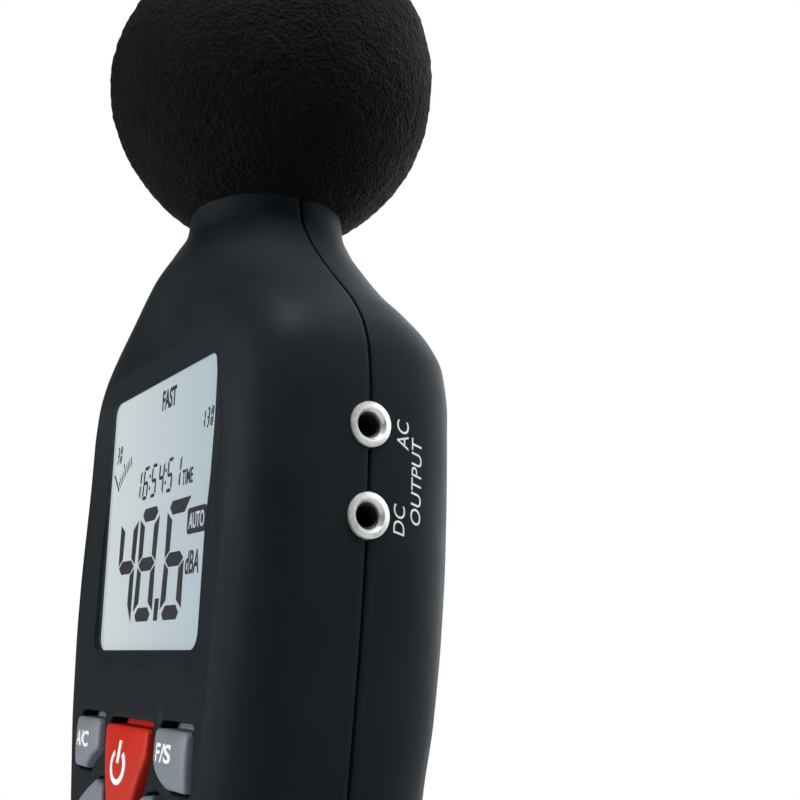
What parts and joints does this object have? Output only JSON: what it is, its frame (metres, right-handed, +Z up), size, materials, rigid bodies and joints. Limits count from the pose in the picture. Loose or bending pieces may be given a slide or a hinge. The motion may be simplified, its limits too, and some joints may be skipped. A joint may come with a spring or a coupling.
{
  "type": "sound level meter",
  "caption": "Hand-held sound level meter with foam windscreen, backlit display, keypad, analogue output sockets and a battery compartment in the back.",
  "frame": {"origin": "centre of the flat base face, on the surface that the meter stands on", "axes": "+Z up through the microphone; the display faces -Y; +X is the side with the two analogue output sockets"},
  "size_m": [0.0692, 0.052, 0.2452],
  "materials": {
    "case": "soft-touch satin black",
    "foam": "open-cell foam",
    "key_grey": "moulded silicone rubber, satin",
    "key_red": "moulded silicone rubber, satin",
    "lens": "clear acrylic",
    "lcd": "display glass",
    "backlight": "light guide",
    "white_plastic": "moulded",
    "rubber": "matt",
    "board": "solder mask",
    "black_plastic": "moulded",
    "trimmer_plastic": "moulded",
    "nickel": "pale nickel plate",
    "steel": "zinc plated",
    "aluminium": "satin anodised",
    "brass": "turned",
    "battery_can": "printed sleeve",
    "lead_red": "insulated wire",
    "lead_black": "insulated wire"
  },
  "bodies": {
    "meter": {"front_shell": "case", "rear_shell": "case", "lcd_window": "lens", "lcd_glass": "lcd", "backlight_panel": "backlight", "lcd_frame": "white_plastic", "contact_strip_lower": "rubber", "contact_strip_upper": "rubber", "keypad_mat": "rubber", "mic_grommet": "rubber", "main_board": "board", "socket_board": "board", "preamp_board": "board", "processor_chip": "black_plastic", "board_connector": "black_plastic", "battery_tray": "black_plastic", "ac_jack": "black_plastic", "dc_jack": "black_plastic", "power_inlet": "black_plastic", "ac_jack_ring": "nickel", "dc_jack_ring": "nickel", "mic_capsule": "nickel", "mic_grid": "nickel", "usb_socket": "steel", "board_screw_left": "steel", "board_screw_right": "steel", "case_screw_upper_left": "steel", "case_screw_upper_right": "steel", "case_screw_lower_left": "steel", "case_screw_lower_right": "steel", "mic_sleeve": "aluminium", "tripod_insert": "brass", "calibration_trimmer": "trimmer_plastic", "battery_9v": "battery_can", "battery_clip": "lead_black", "battery_lead_red": "lead_red", "battery_lead_black": "lead_black", "mic_lead": "lead_black"},
    "windscreen": {"windscreen": "foam"},
    "battery_door": {"battery_door": "case"},
    "trimmer_screw": {"calibration_screw": "brass"},
    "key_power": {"key_power": "key_red"},
    "key_ac_weighting": {"key_ac_weighting": "key_grey"},
    "key_fast_slow": {"key_fast_slow": "key_grey"},
    "key_max_min": {"key_max_min": "key_grey"},
    "key_hold": {"key_hold": "key_grey"},
    "key_level_up": {"key_level_up": "key_grey"},
    "key_backlight": {"key_backlight": "key_grey"},
    "key_level_down": {"key_level_down": "key_grey"}
  },
  "joints": [
    {"name": "windscreen_pull", "type": "slide", "parent": "meter", "child": "windscreen", "axis": [0, 0, 1], "range_m": [0, 0.036]},
    {"name": "battery_door_lift", "type": "slide", "parent": "meter", "child": "battery_door", "axis": [0, 1, 0], "range_m": [0, 0.02]},
    {"name": "trimmer_turn", "type": "hinge", "parent": "meter", "child": "trimmer_screw", "pos_m": [-0.032, 0, 0.133], "axis": [-1, 0, 0], "range_deg": [-130, 130]},
    {"name": "key_power_press", "type": "slide", "parent": "meter", "child": "key_power", "axis": [0, 1, 0], "range_m": [0, 0.001], "stiffness_N_per_m": 800},
    {"name": "key_ac_weighting_press", "type": "slide", "parent": "meter", "child": "key_ac_weighting", "axis": [0, 1, 0], "range_m": [0, 0.001], "stiffness_N_per_m": 800},
    {"name": "key_fast_slow_press", "type": "slide", "parent": "meter", "child": "key_fast_slow", "axis": [0, 1, 0], "range_m": [0, 0.001], "stiffness_N_per_m": 800},
    {"name": "key_max_min_press", "type": "slide", "parent": "meter", "child": "key_max_min", "axis": [0, 1, 0], "range_m": [0, 0.001], "stiffness_N_per_m": 800},
    {"name": "key_hold_press", "type": "slide", "parent": "meter", "child": "key_hold", "axis": [0, 1, 0], "range_m": [0, 0.001], "stiffness_N_per_m": 800},
    {"name": "key_level_up_press", "type": "slide", "parent": "meter", "child": "key_level_up", "axis": [0, 1, 0], "range_m": [0, 0.001], "stiffness_N_per_m": 800},
    {"name": "key_backlight_press", "type": "slide", "parent": "meter", "child": "key_backlight", "axis": [0, 1, 0], "range_m": [0, 0.001], "stiffness_N_per_m": 800},
    {"name": "key_level_down_press", "type": "slide", "parent": "meter", "child": "key_level_down", "axis": [0, 1, 0], "range_m": [0, 0.001], "stiffness_N_per_m": 800}
  ]
}
